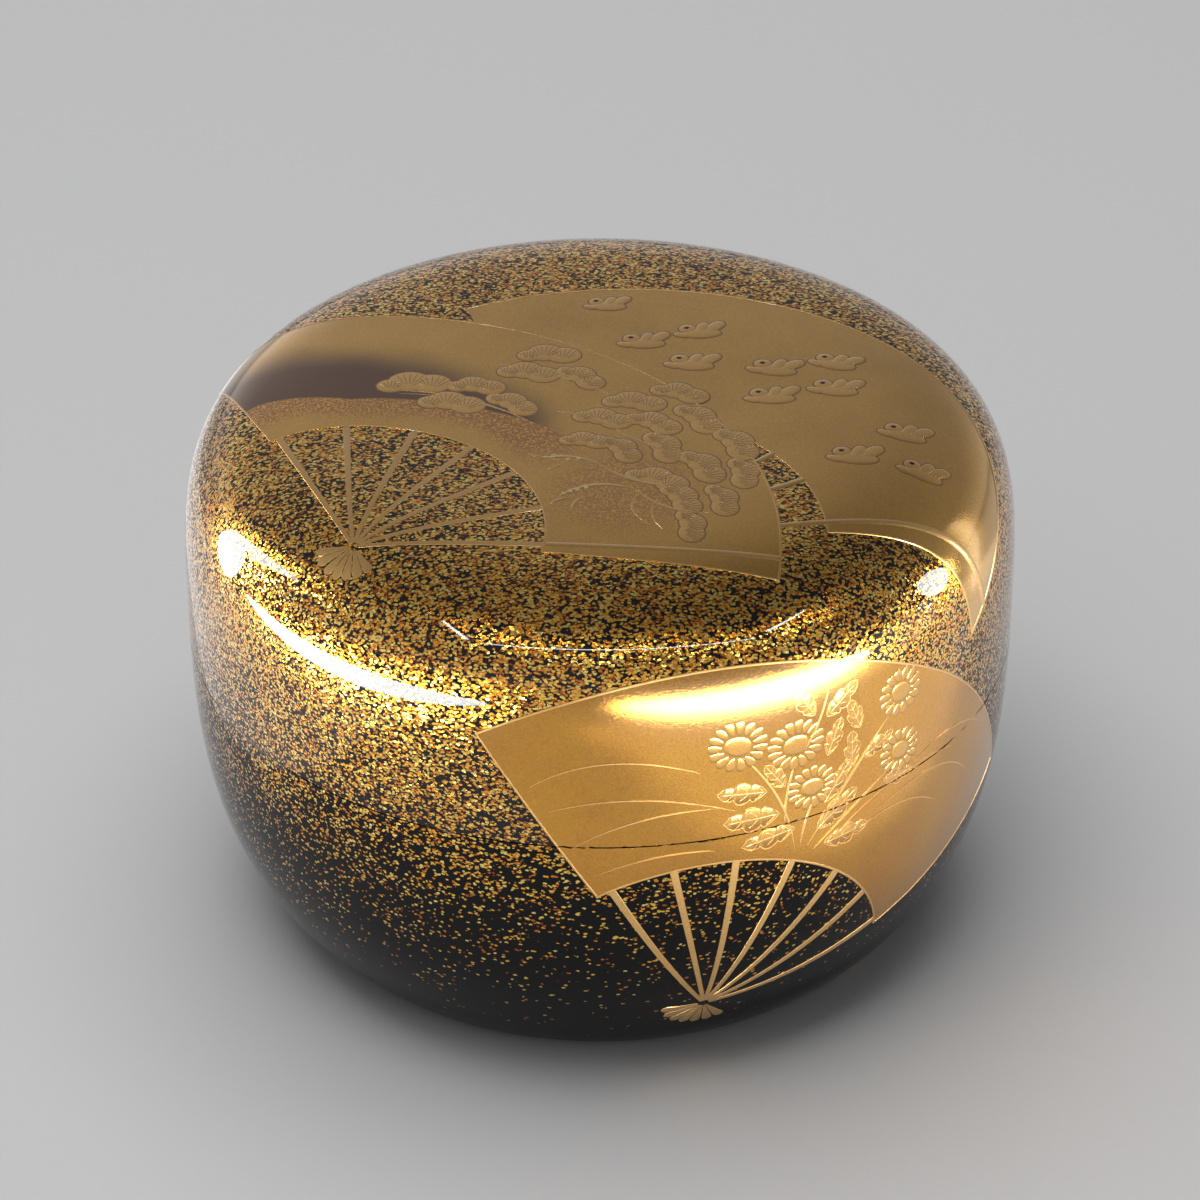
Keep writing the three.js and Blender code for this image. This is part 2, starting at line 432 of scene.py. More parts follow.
def make_flakes_group():
    """Flakes strewn over a surface: a mask, a colour and a tilted normal, from the place on the piece."""
    group = bpy.data.node_groups.new("gold_flakes", "ShaderNodeTree")
    for name, kind in (("Mask", "Float"), ("Colour", "Color"), ("Normal", "Vector")):
        group.interface.new_socket(name, in_out="OUTPUT", socket_type="NodeSocket" + kind)
    place = add_node(group, "ShaderNodeTexCoord").outputs["Object"]
    height = add_node(group, "ShaderNodeSeparateXYZ", {0: place}).outputs["Z"]
    cover = on_ramp(group, maths(group, "DIVIDE", height, TOP), greys(FLAKE_COVER_BY_HEIGHT))
    drift = noise(group, place, 120.0, 2.0).outputs[0]
    wanted = maths(group, "MULTIPLY", cover, maths(group, "ADD", drift, 0.5))

    ragged = noise(group, place, 2600.0, 1.0).outputs["Color"]
    shift = vector_maths(group, "SUBTRACT", ragged, (0.5,) * 3)
    shift = vector_maths(group, "SCALE", shift, Scale=FLAKE_RAGGEDNESS)
    ragged_place = vector_maths(group, "ADD", place, shift)

    mask, colour_seed, tilt = None, None, None
    for turn in FLAKE_LAYERS:
        mapping = add_node(group, "ShaderNodeMapping", {
            "Vector": ragged_place, "Location": turn, "Rotation": turn,
            "Scale": (1 / FLAKE_LENGTH, 1 / FLAKE_WIDTH, 1 / FLAKE_WIDTH),
        })
        spread = {"Vector": mapping.outputs[0], "Scale": 1.0, "Randomness": 1.0}
        cells = add_node(group, "ShaderNodeTexVoronoi", spread).outputs
        seed = add_node(group, "ShaderNodeSeparateColor", {0: cells["Color"]}).outputs
        near = maths(group, "LESS_THAN", cells["Distance"], FLAKE_REACH)
        chosen = maths(group, "LESS_THAN", seed[0], wanted)
        flake = maths(group, "MULTIPLY", near, chosen)
        if mask is None:
            mask, colour_seed, tilt = flake, seed[1], cells["Color"]
            continue
        colour_seed = mixed(group, flake, colour_seed, seed[1], "FLOAT")
        tilt = mixed(group, flake, tilt, cells["Color"])
        mask = maths(group, "MAXIMUM", mask, flake)

    from_seam = maths(group, "ABSOLUTE", maths(group, "SUBTRACT", height, SEAM))
    lean = vector_maths(group, "SCALE", vector_maths(group, "SUBTRACT", tilt, (0.5,) * 3), Scale=FLAKE_TILT)
    facing = add_node(group, "ShaderNodeNewGeometry").outputs["Normal"]
    add_node(group, "NodeGroupOutput", {
        "Mask": maths(group, "MULTIPLY", mask, maths(group, "GREATER_THAN", from_seam, SEAM_CUT)),
        "Colour": on_ramp(group, colour_seed, FLAKE_SHADES),
        "Normal": vector_maths(group, "NORMALIZE", vector_maths(group, "ADD", facing, lean)),
    })
    return group


flakes_group = make_flakes_group()


def make_flaked_lacquer(name, coat_ior):
    """Black lacquer with the flakes in it, under a polished clear coat."""
    material, tree, shader = new_material(name)
    flakes = add_node(tree, "ShaderNodeGroup", node_tree=flakes_group).outputs
    set_inputs(tree, shader, {
        "Base Color": mixed(tree, flakes["Mask"], BLACK, flakes["Colour"]),
        "Metallic": flakes["Mask"],
        "Normal": flakes["Normal"],
        "Roughness": FLAKE_ROUGHNESS,
        "Specular IOR Level": 0.0,
        "Coat Weight": 1.0,
        "Coat Roughness": COAT_ROUGHNESS,
        "Coat IOR": coat_ior,
    })
    return material


plain_black, black_tree, black_shader = new_material("plain_black_lacquer")
black_place = add_node(black_tree, "ShaderNodeTexCoord").outputs["Object"]
ripple = noise(black_tree, black_place, 140.0, 2.0).outputs[0]
black_tones = [(0.3, (0.004, 0.003, 0.003)), (0.7, (0.010, 0.006, 0.005))]
set_inputs(black_tree, black_shader, {
    "Base Color": on_ramp(black_tree, ripple, black_tones),
    "Roughness": maths(black_tree, "MULTIPLY", ripple, 0.16),
    "Specular IOR Level": 0.45,
})


def blacken_inside(piece):
    """Plain black lacquer on the faces inside the hollow, under the foot and on the seat at the seam."""
    piece.data.materials.append(plain_black)
    for face in piece.data.polygons:
        at_seam = abs(face.center.z - SEAM) < 0.2 * MM and abs(face.normal.z) > 0.3
        if at_seam or level(np.array(face.center)) < -0.03:
            face.material_index = 1


for piece, name, coat_ior in (
    (lacquered_lid, "flaked_lacquer_on_lid", LID_COAT_IOR),
    (lacquered_body, "flaked_lacquer_on_body", BODY_COAT_IOR),
):
    piece.data.materials.append(make_flaked_lacquer(name, coat_ior))
    blacken_inside(piece)


# The left fan, on the front left of the top. Its leaf is fine gold powder over a thin raised ground, with a
# raised line round its edge, and seven bare sticks lead to the pivot, with their rounded ends beyond it.
# Each fan is drawn flat about its pivot and laid on the lacquer, where a point keeps its straight distance
# and its compass direction from the pivot.
LEAF_HEIGHT = 0.05 * MM
LINE_SINK = 0.04 * MM
LEAF_GRID = 0.6 * MM
LEFT_PIVOT = (-23.01 * MM, -25.32 * MM, 54.06 * MM)
LEFT_OUTER = (40.37, 1.0, 0.46)
LEFT_INNER = (18.82, 1.05)
LEFT_SPREAD = (-7.9, 118.8)
LEFT_STICKS = (116.1, 97.1, 77.1, 57.6, 37.4, 15.6, -3.8)
BORDER_WIDTH, BORDER_HEIGHT = 0.26 * MM, 0.032 * MM
STICK_WIDTH, STICK_HEIGHT = 0.8 * MM, 0.055 * MM
STICK_END_HEIGHT = 0.035 * MM
LEFT_STICK_END = 3.7 * MM
GUARD_HEIGHT = 0.07 * MM


def outward(points):
    """The way the outside faces at points on it."""
    step = 1e-6
    slopes = [level(points + step * axis) - level(points - step * axis) for axis in np.eye(3)]
    slopes = np.stack(slopes, axis=-1)
    return slopes / np.linalg.norm(slopes, axis=-1, keepdims=True)


def set_pivot(near):
    """A pivot on the outside near a place, with its directions east, north and up."""
    centre = np.array([0.0, 0.0, 30 * MM])
    low, high = 0.5, 1.5
    for _ in range(50):
        middle = (low + high) / 2
        pivot = centre + middle * (np.array(near) - centre)
        low, high = (low, middle) if level(pivot) > 0 else (middle, high)
    up = outward(pivot[None])[0]
    east = np.array([1.0, 0.0, 0.0]) - up[0] * up
    east /= np.linalg.norm(east)
    return pivot, east, np.cross(up, east), up


def laid(points, compass):
    """Flat points with their heights, as (x, y, height), laid on the outside."""
    points = np.asarray(points, dtype=float)
    pivot, east, north, up = compass
    distance = np.hypot(points[:, 0], points[:, 1])
    along = points[:, :1] * east + points[:, 1:2] * north
    along /= np.maximum(distance, 1e-9)[:, None]
    low = np.full(len(points), -0.6)
    high = np.full(len(points), 2.0)
    for _ in range(40):
        middle = (low + high) / 2
        on_surface = np.cos(middle)[:, None] * along - np.sin(middle)[:, None] * up
        on_surface = pivot + distance[:, None] * on_surface
        beyond = level(on_surface) > 0
        low = np.where(beyond, middle, low)
        high = np.where(beyond, high, middle)
    return on_surface + points[:, 2:] * outward(on_surface)


def slow_curve(turns, numbers):
    """A fan's radius at some angles in degrees."""
    share = (np.asarray(turns, dtype=float) - 60) / 60
    return np.polyval(numbers[::-1], share) * MM


def on_fan(distance, turns):
    """Flat points at distances and angles in degrees from the pivot."""
    turns = np.radians(turns)
    return np.column_stack([distance * np.cos(turns), distance * np.sin(turns)])


def make_leaf(name, outer, inner, spread, height, compass):
    """A fan's leaf: a fine grid bent to the fan's shape, laid on the lacquer and given its thickness."""
    sweep = math.radians(spread[1] - spread[0]) * 40 * MM
    bpy.ops.mesh.primitive_grid_add(
        x_subdivisions=round(sweep / LEAF_GRID), y_subdivisions=round(22 * MM / LEAF_GRID), size=1
    )
    leaf = bpy.context.object
    leaf.name = name
    count = len(leaf.data.vertices)
    flat = np.empty(count * 3)
    leaf.data.vertices.foreach_get("co", flat)
    flat = flat.reshape(-1, 3)
    turns = spread[1] - (spread[1] - spread[0]) * (flat[:, 0] + 0.5)
    near, far = slow_curve(turns, inner), slow_curve(turns, outer)
    bent = on_fan(near + (far - near) * (flat[:, 1] + 0.5), turns)
    bent = laid(np.column_stack([bent, np.full(count, height)]), compass)
    leaf.data.vertices.foreach_set("co", bent.ravel())
    leaf.data.update()
    work_on(leaf)
    bpy.ops.object.modifier_add(type="SOLIDIFY")
    leaf.modifiers[0].thickness = height + LINE_SINK
    leaf.modifiers[0].offset = -1
    bpy.ops.object.modifier_apply(modifier=leaf.modifiers[0].name)
    bpy.ops.object.shade_smooth_by_angle(angle=math.radians(30))
    return leaf


def ridge(points, width, height, base=0.0, shoulder=0.3):
    """A raised line with a rounded back along flat points, as (points, faces)."""
    points = np.asarray(points, dtype=float)
    count = len(points)
    ahead = np.gradient(points, axis=0)
    ahead /= np.maximum(np.linalg.norm(ahead, axis=1, keepdims=True), 1e-12)
    aside = np.column_stack([-ahead[:, 1], ahead[:, 0]])
    width = np.broadcast_to(width, count)
    height = np.broadcast_to(height, count)
    base = np.broadcast_to(base, count)
    rows = []
    for across, up in ((-0.5, None), (-shoulder, 0.85), (0.0, 1.0), (shoulder, 0.85), (0.5, None)):
        flat = points + aside * (across * width)[:, None]
        rise = base - LINE_SINK if up is None else base + up * height
        rows.append(np.column_stack([flat, rise]))
    solid = np.stack(rows, axis=1).reshape(-1, 3)
    faces = []
    for i in range(count - 1):
        for j in range(5):
            k = (j + 1) % 5
            faces.append((5 * i + j, 5 * i + k, 5 * i + 5 + k, 5 * i + 5 + j))
    faces.append((0, 1, 2, 3, 4))
    faces.append(tuple(5 * count - 1 - j for j in range(5)))
    return solid, faces


def joined(name, shapes, compass, material, smooth=40):
    """Many flat shapes, each as (points, faces), as one piece laid on the lacquer."""
    points, faces, start = [], [], 0
    for shape_points, shape_faces in shapes:
        points.append(shape_points)
        faces.extend(tuple(start + corner for corner in face) for face in shape_faces)
        start += len(shape_points)
    piece = mesh_piece(name, laid(np.vstack(points), compass), faces=faces)
    work_on(piece)
    bpy.ops.object.mode_set(mode="EDIT")
    bpy.ops.mesh.select_all(action="SELECT")
    bpy.ops.mesh.normals_make_consistent(inside=False)
    bpy.ops.object.mode_set(mode="OBJECT")
    bpy.ops.object.shade_smooth_by_angle(angle=math.radians(smooth))
    piece.data.materials.append(material)
    return piece


def leaf_border(outer, inner, spread, base):
    """The raised line round a leaf, as four ridges that meet at its corners."""
    inset = BORDER_WIDTH / 2
    turns = np.linspace(spread[0], spread[1], 110)
    sides = []
    for numbers, change in ((outer, -inset), (inner, inset)):
        sides.append(on_fan(slow_curve(turns, numbers) + change, turns))
    for turn, change in ((spread[0], 1), (spread[1], -1)):
        reach = np.linspace(slow_curve(turn, inner), slow_curve(turn, outer), 40)
        sides.append(on_fan(reach, turn + change * np.degrees(inset / reach)))
    return [ridge(side, BORDER_WIDTH, BORDER_HEIGHT, base) for side in sides]


def sticks(turns, inner, width, start=0.5 * MM):
    """The bare sticks between a pivot and its leaf, each a little wider away from the pivot."""
    shapes = []
    for turn in turns:
        reach = np.linspace(start, float(slow_curve(turn, inner)) + 0.2 * MM, 36)
        widening = width * (0.55 + 0.45 * reach / reach[-1])
        shapes.append(ridge(on_fan(reach, turn), widening, STICK_HEIGHT, shoulder=0.42))
    return shapes


def stick_ends(turns, length):
    """The rounded ends of the sticks beyond the pivot, which open like a small fan."""
    shapes = []
    step = abs(turns[0] - turns[-1]) / (len(turns) - 1)
    for turn in turns:
        reach = np.linspace(0.6 * MM, length, 14)
        share = (reach - reach[0]) / (reach[-1] - reach[0])
        width = 2 * reach * math.tan(math.radians(step / 2)) * 0.94
        width = width * np.sqrt(np.clip(1 - np.maximum(0, (share - 0.8) / 0.2) ** 2, 0.02, 1))
        shapes.append(ridge(on_fan(reach, turn + 180), width, STICK_END_HEIGHT, shoulder=0.44))
    return shapes


bpy.ops.mesh.primitive_uv_sphere_add(segments=18, ring_count=8, radius=1)
bpy.ops.object.mode_set(mode="EDIT")
bpy.ops.mesh.select_all(action="SELECT")
bpy.ops.mesh.bisect(plane_co=(0, 0, -0.3), plane_no=(0, 0, 1), use_fill=True, clear_inner=True)
bpy.ops.object.mode_set(mode="OBJECT")
pad_form = bpy.context.object
PAD_POINTS = np.array([tuple(vertex.co) for vertex in pad_form.data.vertices])
PAD_FACES = [tuple(face.vertices) for face in pad_form.data.polygons]
bpy.data.objects.remove(pad_form, do_unlink=True)


def pad(place, size, turn, height, base=0.0, taper=0.0):
    """A low rounded pad, copied from the one form, with its half length and half width, turned by degrees."""
    x, y = PAD_POINTS[:, 0] * size[0], PAD_POINTS[:, 1] * size[1]
    y = y * (1 + taper * PAD_POINTS[:, 0])
    turn = math.radians(turn)
    return np.column_stack([
        place[0] + x * math.cos(turn) - y * math.sin(turn),
        place[1] + x * math.sin(turn) + y * math.cos(turn),
        base + PAD_POINTS[:, 2] * height,
    ]), PAD_FACES


def bow(start, end, bend, count=16):
    """A curve between two flat places, bent aside by a share of its length."""
    start, end = np.array(start, dtype=float), np.array(end, dtype=float)
    share = np.linspace(0, 1, count)[:, None]
    aside = np.array([start[1] - end[1], end[0] - start[0]])
    return start + share * (end - start) + 4 * share * (1 - share) * bend * aside


def tapered(count, width, tips=(0.25, 0.25)):
    """Widths along a line that thin towards its two tips."""
    share = np.linspace(0, 1, count)
    full = np.sin(np.pi * np.clip(share, 0.0, 1.0)) ** 0.5
    ends = tips[0] * (1 - share) + tips[1] * share
    return width * np.maximum(full, ends)


def make_gold(name, colour, deep, roughness, grain, coat_roughness=0.09, coat_ior=1.6, paint=None):
    """Fine gold powder under clear lacquer, with a soft grain and slow changes of tone."""
    material, tree, shader = new_material(name)
    place = add_node(tree, "ShaderNodeTexCoord").outputs["Object"]
    fine = noise(tree, place, 5200.0, 2.0, 0.7).outputs[0]
    slow = noise(tree, place, 110.0, 3.0).outputs[0]
    tone = maths(tree, "ADD", maths(tree, "MULTIPLY", fine, 0.9), maths(tree, "MULTIPLY", slow, 0.5))
    gold = on_ramp(tree, tone, [(0.42, deep), (0.92, colour)])
    bump = add_node(tree, "ShaderNodeBump", {"Strength": grain, "Distance": 0.02 * MM, "Height": fine})
    set_inputs(tree, shader, {
        "Base Color": paint(tree, place, gold) if paint else gold,
        "Normal": bump.outputs[0],
        "Metallic": 1.0,
        "Roughness": roughness,
        "Coat Weight": 1.0,
        "Coat Roughness": coat_roughness,
        "Coat IOR": coat_ior,
    })
    return material


powdered_gold = make_gold("powdered_gold", (0.87, 0.495, 0.105), (0.60, 0.305, 0.050), 0.10, 0.6)
front_gold = make_gold("front_gold", (0.87, 0.43, 0.036), (0.60, 0.24, 0.016), 0.10, 0.6, 0.24, 1.55)
raised_gold = make_gold("raised_gold", (0.88, 0.54, 0.19), (0.68, 0.38, 0.10), 0.36, 0.2)
blossom_gold = make_gold("blossom_gold", (0.92, 0.50, 0.11), (0.70, 0.34, 0.06), 0.20, 0.4)
tuft_gold = make_gold("tuft_gold", (0.96, 0.57, 0.17), (0.74, 0.39, 0.09), 0.26, 0.4)
needle_gold = make_gold("needle_gold", (0.44, 0.24, 0.07), (0.34, 0.18, 0.05), 0.4, 0.2)
# A dark brown gold for the rims under the raised figures: painted shade round their edges.
painted_edge_shade = make_gold("painted_edge_shade", (0.44, 0.23, 0.07), (0.30, 0.15, 0.04), 0.5, 0.2)
dot_black, dot_tree, dot_shader = new_material("dot_black")
set_inputs(dot_tree, dot_shader, {"Base Color": BLACK, "Roughness": 0.25})

MIST = (0.150, 0.060, 0.024, 1.0)
SAND = (0.50, 0.20, 0.035, 1.0)
SAND_SPECK = (0.90, 0.50, 0.12, 1.0)
MIST_FOOT = [(0.03, 0.34), (0.18, 0.24), (0.34, 0.27), (0.58, 0.36)]
MIST_TOP = [(0.03, 0.90), (0.25, 0.72), (0.50, 0.62), (0.62, 0.45)]


def paint_shore(tree, place, gold):
    """A dark band of mist over a sandy shore, across the leaf (0 to 1 from its left end) and up it."""
    share = add_node(tree, "ShaderNodeUVMap", uv_map="UVMap").outputs[0]
    share = add_node(tree, "ShaderNodeSeparateXYZ", {0: share}).outputs
    across, up = share["X"], share["Y"]
    waves = noise(tree, place, 90.0, 3.0).outputs[0]
    sway = maths(tree, "MULTIPLY", maths(tree, "SUBTRACT", waves, 0.5), 0.16)
    foot, top = (on_ramp(tree, across, greys(stops)) for stops in (MIST_FOOT, MIST_TOP))
    wavy_up = maths(tree, "ADD", up, sway)
    above_foot = between(tree, up, maths(tree, "SUBTRACT", foot, 0.012), foot)
    below_top = between(tree, wavy_up, maths(tree, "SUBTRACT", top, 0.30), top, 1.0, 0.0)
    to_left = between(tree, maths(tree, "ADD", across, sway), 0.50, 0.66, 1.0, 0.0)
    mist = maths(tree, "MULTIPLY", maths(tree, "MULTIPLY", above_foot, below_top), to_left)
    shore = maths(tree, "SUBTRACT", 1.0, above_foot)
    shore = maths(tree, "MULTIPLY", shore, between(tree, wavy_up, 0.04, 0.20))
    shore = maths(tree, "MULTIPLY", shore, between(tree, across, 0.55, 0.74, 1.0, 0.0))
    far_across = maths(tree, "DIVIDE", maths(tree, "SUBTRACT", across, 0.80), 0.15)
    far_up = maths(tree, "DIVIDE", maths(tree, "SUBTRACT", wavy_up, 0.36), 0.40)
    spread = maths(tree, "ADD", *(maths(tree, "MULTIPLY", far, far) for far in (far_across, far_up)))
    far_shore = between(tree, spread, 0.1, 1.2, 0.7, 0.0)
    specks = between(tree, noise(tree, place, 4600.0, 1.0).outputs[0], 0.50, 0.60)
    sand = mixed(tree, specks, SAND, SAND_SPECK)
    return mixed(tree, mist, mixed(tree, maths(tree, "MAXIMUM", shore, far_shore), gold, sand), MIST)


shore_gold = make_gold(
    "shore_gold", (0.87, 0.495, 0.105), (0.60, 0.305, 0.050), 0.10, 0.6, paint=paint_shore
)
gold_foil = make_gold("gold_foil", (1.0, 0.80, 0.42), (0.95, 0.72, 0.34), 0.22, 0.1)

left_compass = set_pivot(LEFT_PIVOT)
left_leaf = make_leaf("left_fan_leaf", LEFT_OUTER, LEFT_INNER, LEFT_SPREAD, LEAF_HEIGHT, left_compass)
left_leaf.data.materials.append(shore_gold)
guard_reach = np.linspace(18 * MM, float(slow_curve(LEFT_STICKS[-1], LEFT_OUTER)) - 0.2 * MM, 60)
left_lines = joined(
    "left_fan_sticks",
    leaf_border(LEFT_OUTER, LEFT_INNER, LEFT_SPREAD, LEAF_HEIGHT)
    + sticks(LEFT_STICKS, LEFT_INNER, STICK_WIDTH)
    + stick_ends(LEFT_STICKS, LEFT_STICK_END)
    + [ridge(on_fan(guard_reach, LEFT_STICKS[-1]), STICK_WIDTH, GUARD_HEIGHT, LEAF_HEIGHT)],
    left_compass, raised_gold,
)


# Pine boughs on the left fan: tufts of needles raised in gold, each a row of rounded lobes with a dark rim
# round it, painted shade where the relief's edge falls into shade, and fine needles combed across it. They
# hang in three groups with their twigs, and small squares of foil are set among them.
TUFTS = [
    # (east, north, turn, size), in millimetres and degrees
    (3.4, 27.4, 2, 1.25), (9.6, 27.2, -8, 1.0), (7.4, 23.9, -12, 1.15), (13.4, 24.0, -38, 1.0),
    (16.4, 33.6, -4, 1.1), (14.6, 30.0, -14, 1.1), (19.9, 29.2, -44, 1.0),
    (22.6, 21.2, -22, 1.05), (21.2, 17.0, -12, 0.9), (25.6, 24.4, -14, 1.1), (30.0, 26.2, -26, 1.05),
    (27.6, 20.4, -34, 1.05), (24.6, 15.4, -60, 0.95), (28.6, 15.8, -70, 1.05), (31.9, 21.2, -58, 1.1),
    (35.6, 16.4, -66, 1.1), (32.4, 12.2, -64, 1.1), (28.2, 9.8, -30, 1.1), (36.2, 11.0, -84, 0.95),
    (30.4, 6.4, -66, 1.0), (34.2, 6.2, -78, 0.95), (31.2, 1.8, -84, 0.9),
]
LOBES = [(-1.45, -0.2, 0.85), (-0.35, 0.35, 1.25), (1.05, 0.1, 1.2)]
TUFT_SCALE = 1.27
TUFT_HEIGHT = 0.045 * MM
TUFT_EDGE, TUFT_EDGE_HEIGHT = 0.11 * MM, 0.016 * MM
NEEDLE_LEANS = (-66, -44, -22, 0, 22, 44, 66)
NEEDLE_WIDTH, NEEDLE_HEIGHT, NEEDLE_SINK = 0.14 * MM, 0.016 * MM, 0.004 * MM
TWIG_HEIGHT = 0.04 * MM
FOIL_SIZE, FOIL_HEIGHT = 0.34 * MM, 0.07 * MM


def set_out(east, north, turn):
    """A motif's place on its fan, with the directions along it and across it."""
    side = math.radians(turn)
    ahead = np.array([math.cos(side), math.sin(side)])
    return np.array([east, north]) * MM, ahead, np.array([-ahead[1], ahead[0]])


def tuft(east, north, turn, size, edges, pads, needles):
    """One tuft of pine needles: its lobes, a dark rim of painted shade round them and the needles combed
    across.
    """
    place, ahead, aside = set_out(east, north, turn)
    for along, across, radius in LOBES:
        middle = place + size * MM * (along * ahead + across * aside)
        lobe = (1.08 * radius * size * MM, 0.92 * radius * size * MM)
        edge = (lobe[0] + TUFT_EDGE, lobe[1] + TUFT_EDGE)
        # Each lobe sits on a slightly larger dark pad: painted shade round the lobe's edge.
        edges.append(pad(middle, edge, turn, TUFT_EDGE_HEIGHT, LEAF_HEIGHT))
        pads.append(pad(middle, lobe, turn, TUFT_HEIGHT, LEAF_HEIGHT))
        for lean in np.radians(NEEDLE_LEANS):
            tip = np.array([math.sin(lean) * lobe[0], math.cos(lean) * lobe[1]]) * 0.93
            foot = np.array([0.0, -0.70 * lobe[1]])
            reach = foot + np.linspace(0.25, 1.0, 7)[:, None] * (tip - foot)
            line = middle + reach[:, :1] * ahead + reach[:, 1:] * aside
            share = (reach[:, 0] / lobe[0]) ** 2 + (reach[:, 1] / lobe[1]) ** 2
            rise = TUFT_HEIGHT * np.sqrt(np.clip(1 - share, 0.02, 1)) - NEEDLE_SINK
            needles.append(ridge(line, tapered(7, NEEDLE_WIDTH), NEEDLE_HEIGHT, LEAF_HEIGHT + rise))


tuft_edge_shade, tuft_pads, tuft_needles, twig_lines = [], [], [], []
for east, north, turn, size in TUFTS:
    tuft(east, north, turn, TUFT_SCALE * size, tuft_edge_shade, tuft_pads, tuft_needles)
TWIGS = [
    # (start, end, bend, width), in millimetres
    ((1.0, 26.2), (15.0, 21.0), 0.10, 0.16), ((2.0, 25.6), (15.8, 20.4), 0.10, 0.12),
    ((10.5, 31.8), (22.0, 26.6), 0.08, 0.16), ((11.4, 31.0), (23.2, 26.0), 0.08, 0.12),
    ((18.0, 22.8), (24.6, 19.0), 0.05, 0.3), ((24.0, 19.2), (33.0, 13.4), -0.06, 0.3),
    ((16.2, 13.4), (22.8, 12.6), 0.16, 0.42), ((22.8, 12.6), (30.4, 8.6), -0.12, 0.36),
    ((15.6, 14.6), (19.0, 13.6), -0.05, 0.26), ((17.6, 11.8), (19.4, 13.2), -0.1, 0.26),
    ((18.8, 6.6), (26.4, 8.0), 0.2, 0.46), ((26.4, 8.0), (33.0, 4.0), -0.16, 0.34),
    ((18.0, 5.4), (20.4, 6.6), 0.1, 0.28), ((20.2, 4.4), (21.4, 6.9), 0.1, 0.28),
    ((26.6, 7.8), (27.6, 2.0), -0.2, 0.2), ((28.4, 6.8), (28.8, 1.2), -0.15, 0.16),
]
for start, end, bend, width in TWIGS:
    line = bow(np.array(start) * MM, np.array(end) * MM, bend)
    twig_lines.append(ridge(line, tapered(16, 1.6 * width * MM), tapered(16, TWIG_HEIGHT), LEAF_HEIGHT))
FOIL_SQUARES = [
    # (east, north), in millimetres
    (17.4, 14.0), (18.1, 14.3), (18.9, 14.2), (19.6, 13.6), (20.6, 13.7),
    (19.4, 7.3), (20.0, 7.7), (20.7, 8.0), (21.5, 8.4),
]
foil = []
for east, north in FOIL_SQUARES:
    line = np.array([(east - 0.2, north - 0.03), (east + 0.2, north + 0.03)]) * MM
    foil.append(ridge(line, FOIL_SIZE, FOIL_HEIGHT, LEAF_HEIGHT, shoulder=0.44))
foil_squares = joined("foil_squares", foil, left_compass, gold_foil)
pine_edge_shade = joined("pine_tuft_edges", tuft_edge_shade, left_compass, painted_edge_shade)
pine_tufts = joined("pine_tufts", tuft_pads, left_compass, tuft_gold)
pine_needles = joined("pine_needles", tuft_needles, left_compass, needle_gold)
pine_twigs = joined("pine_twigs", twig_lines, left_compass, raised_gold)
for piece in (left_leaf, left_lines, foil_squares, pine_edge_shade, pine_tufts, pine_needles, pine_twigs):
    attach(piece, "root")


# The right fan, on the back right of the top, half under the left one. It is made as the left one is, with a
# thinner ground, and its edge line and sticks come out from under the left fan's leaf.
RIGHT_PIVOT = (-0.95 * MM, -27.46 * MM, 55.35 * MM)
RIGHT_OUTER = (48.72, 3.24, -8.81)
RIGHT_INNER = (24.44, 2.43)
RIGHT_SPREAD = (9.0, 105.6)
RIGHT_STICKS = (43.2, 30.3, 12.8)
RIGHT_LEAF_HEIGHT = 0.022 * MM
RIGHT_BORDER_HEIGHT = 0.045 * MM
RIGHT_EDGE_INSET = 0.2


def clear_of_left_fan(points):
    """Which laid points the left fan's leaf leaves uncovered."""
    pivot, east, north, up = left_compass
    away = points - pivot
    distance = np.linalg.norm(away, axis=1)
    turns = np.degrees(np.arctan2(away @ north, away @ east))
    within = (turns > LEFT_SPREAD[0]) & (turns < LEFT_SPREAD[1])
    return ~(within & (distance < slow_curve(turns, LEFT_OUTER)))


def visible_part(points, compass):
    """The stretch of a flat line from where it comes out from under the left fan."""
    on_top = laid(np.column_stack([points, np.zeros(len(points))]), compass)
    clear = np.nonzero(clear_of_left_fan(on_top))[0]
    return points[max(clear[0] - 1, 0):clear[-1] + 2]


right_compass = set_pivot(RIGHT_PIVOT)
right_leaf = make_leaf(
    "right_fan_leaf", RIGHT_OUTER, RIGHT_INNER, RIGHT_SPREAD, RIGHT_LEAF_HEIGHT, right_compass
)
right_leaf.data.materials.append(powdered_gold)
right_shapes = []
turns = np.linspace(RIGHT_SPREAD[0], RIGHT_SPREAD[1], 300)
for numbers, change in ((RIGHT_OUTER, -BORDER_WIDTH / 2), (RIGHT_INNER, BORDER_WIDTH / 2)):
    side = visible_part(on_fan(slow_curve(turns, numbers) + change, turns), right_compass)
    right_shapes.append(ridge(side, BORDER_WIDTH, RIGHT_BORDER_HEIGHT, RIGHT_LEAF_HEIGHT))
right_edge = RIGHT_SPREAD[0]
reach = np.linspace(slow_curve(right_edge, RIGHT_INNER), slow_curve(right_edge, RIGHT_OUTER), 60)
edge_line = on_fan(reach, right_edge + RIGHT_EDGE_INSET)
right_shapes.append(ridge(edge_line, BORDER_WIDTH, RIGHT_BORDER_HEIGHT, RIGHT_LEAF_HEIGHT))
for turn in RIGHT_STICKS:
    if turn == RIGHT_STICKS[-1]:
        end = float(slow_curve(turn, RIGHT_OUTER)) - 0.2 * MM
    else:
        end = float(slow_curve(turn, RIGHT_INNER)) + 0.2 * MM
    line = visible_part(on_fan(np.linspace(15 * MM, end, 200), turn), right_compass)
    right_shapes.append(ridge(line, STICK_WIDTH, GUARD_HEIGHT, RIGHT_LEAF_HEIGHT * 0.8))
right_lines = joined("right_fan_sticks", right_shapes, right_compass, raised_gold)
